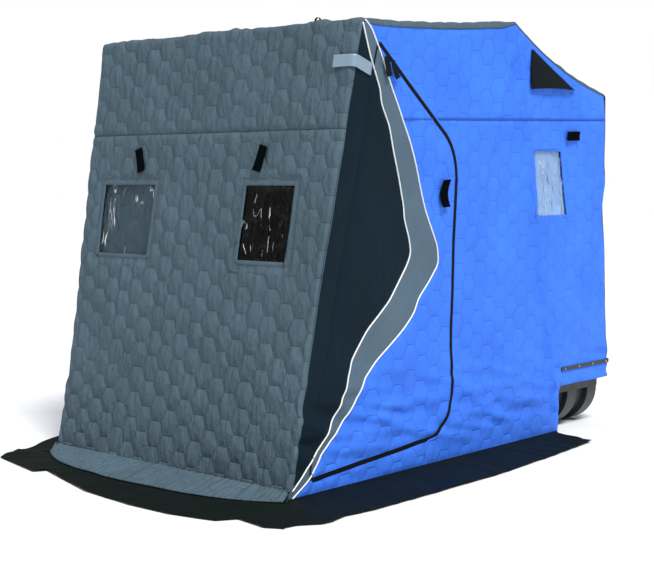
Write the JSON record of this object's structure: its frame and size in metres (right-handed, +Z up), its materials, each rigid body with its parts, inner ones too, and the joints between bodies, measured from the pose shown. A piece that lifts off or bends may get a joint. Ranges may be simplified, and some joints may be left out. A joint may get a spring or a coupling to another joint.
{
  "type": "ice fishing hut",
  "caption": "Flip-over ice fishing shelter: quilted fabric shell on tube hoops over a moulded sled, with two side doors.",
  "frame": {"origin": "middle of the footprint on the ground", "axes": "+Z up, -Y out of the front wall with two windows, +X out of the side that is at the right when facing the front"},
  "size_m": [2.241, 2.9704, 2.057],
  "materials": {
    "sled_plastic": "textured",
    "bracket_steel": "zinc plated",
    "hoop_tube": "drawn",
    "corner_plastic": "moulded",
    "grey_quilt": "quilted",
    "black_quilt": "quilted",
    "pale_grey_quilt": "quilted",
    "blue_quilt": "quilted",
    "black_cloth": "woven",
    "hook_tape": "napped",
    "clear_film": "clear film",
    "reflective_tape": "retroreflective",
    "skirt_cloth": "woven"
  },
  "bodies": {
    "shell": {"sled_tub": "sled_plastic", "clamp_strips": "sled_plastic", "pivot_brackets": "bracket_steel", "ground_hoop": "hoop_tube", "front_hoop": "hoop_tube", "roof_hoop": "hoop_tube", "rear_hoop": "hoop_tube", "hoop_corners": "corner_plastic", "front_panel_upper": "grey_quilt", "front_panel_lower": "grey_quilt", "front_hem": "grey_quilt", "roof_panel": "grey_quilt", "rear_slope_panel": "grey_quilt", "rear_wall_panel": "grey_quilt", "right_corner_strip": "black_quilt", "left_corner_strip": "black_quilt", "door_welts": "black_cloth", "right_side_sill": "blue_quilt", "left_side_sill": "blue_quilt", "right_side_panel": "blue_quilt", "left_side_panel": "blue_quilt", "right_side_band": "blue_quilt", "left_side_band": "blue_quilt", "right_rear_panel": "blue_quilt", "left_rear_panel": "blue_quilt", "right_rear_band": "blue_quilt", "left_rear_band": "blue_quilt", "sled_end_flaps": "blue_quilt", "window_films": "clear_film", "window_blinds": "grey_quilt", "vent_hoods": "black_cloth", "hook_tabs": "hook_tape", "corner_reflectors": "reflective_tape", "roof_loop": "hook_tape", "front_skirt": "skirt_cloth", "right_skirt": "skirt_cloth", "left_skirt": "skirt_cloth"},
    "right_door": {"right_door_black": "black_quilt", "right_door_grey": "pale_grey_quilt", "right_door_blue": "blue_quilt", "right_door_tabs": "hook_tape"},
    "left_door": {"left_door_black": "black_quilt", "left_door_grey": "pale_grey_quilt", "left_door_blue": "blue_quilt", "left_door_tabs": "hook_tape"}
  },
  "joints": [
    {"name": "right_door_fold", "type": "hinge", "parent": "shell", "child": "right_door", "pos_m": [0.77473, -0.91723, 0.071], "axis": [-0.0307, -0.1974, -0.9798], "range_deg": [0, 135]},
    {"name": "left_door_fold", "type": "hinge", "parent": "shell", "child": "left_door", "pos_m": [-0.77473, -0.91723, 0.071], "axis": [-0.0307, 0.1974, 0.9798], "range_deg": [0, 135]}
  ]
}
